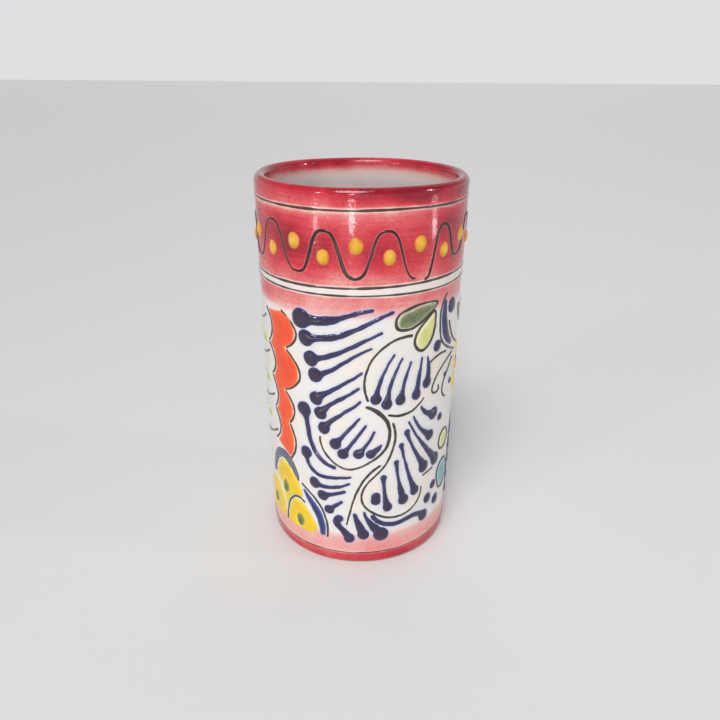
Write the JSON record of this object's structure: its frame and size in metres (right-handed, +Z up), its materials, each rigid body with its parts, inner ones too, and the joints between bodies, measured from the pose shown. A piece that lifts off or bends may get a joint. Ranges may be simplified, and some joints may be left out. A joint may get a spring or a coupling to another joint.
{
  "type": "pottery vase",
  "caption": "Hand-painted pottery vase: a tall open clay cylinder that flares a little, with raised enamel flowers, feathers, dots and bands.",
  "frame": {"origin": "centre of the foot ring, on the surface that the vase stands on", "axes": "+Z up along the vase's axis, -Y towards the side seen in front (the feather panel), +X to its right"},
  "size_m": [0.0958, 0.0959, 0.178],
  "materials": {
    "fired_clay": "matte fired terracotta, bare only under the foot",
    "white_glaze": "glossy grey-white tin glaze",
    "cream_glaze": "glossy cream glaze",
    "crimson_glaze": "glossy crimson glaze, brushed",
    "red_glaze": "glossy brushed red glaze, paler at its edges",
    "pink_glaze": "glossy brushed pink glaze, fading at its edge",
    "dark_line": "thin brown-black glaze line, slightly raised",
    "yellow_enamel": "glossy raised yellow enamel",
    "cobalt_enamel": "glossy raised cobalt enamel",
    "grey_blue_enamel": "glossy grey-blue enamel",
    "dark_green_enamel": "glossy dark green enamel",
    "lime_enamel": "glossy lime enamel",
    "teal_enamel": "glossy teal enamel",
    "orange_enamel": "glossy orange enamel"
  },
  "bodies": {
    "root": {"clay_body": "fired_clay", "inside_glaze": "white_glaze", "white_panel": "white_glaze", "cream_stripe": "cream_glaze", "lip_glaze": "crimson_glaze", "red_band": "red_glaze", "foot_band": "red_glaze", "upper_pink_band": "pink_glaze", "lower_pink_band": "pink_glaze", "foot_line": "dark_line", "line_below_stripe": "dark_line", "line_above_stripe": "dark_line", "line_under_lip": "dark_line", "wave_line": "dark_line", "vine_lines": "dark_line", "blossom_lines": "dark_line", "leaf_rims": "dark_line", "scallop_lines": "dark_line", "lattice_lines": "dark_line", "scale_lines": "dark_line", "yellow_dots": "yellow_enamel", "yellow_scales": "yellow_enamel", "blossom_petals": "yellow_enamel", "long_feathers": "cobalt_enamel", "inner_feathers": "cobalt_enamel", "left_feathers": "cobalt_enamel", "lower_feathers": "cobalt_enamel", "upper_feathers": "cobalt_enamel", "cobalt_dots": "cobalt_enamel", "fern_feathers": "cobalt_enamel", "blue_sepals": "cobalt_enamel", "blue_buds": "cobalt_enamel", "blue_crescents": "cobalt_enamel", "scale_borders": "grey_blue_enamel", "dark_leaves": "dark_green_enamel", "scale_eyes": "dark_green_enamel", "lime_leaves": "lime_enamel", "green_seeds": "lime_enamel", "teal_leaves": "teal_enamel", "orange_petals": "orange_enamel", "blossom_heart": "orange_enamel"}
  },
  "joints": []
}
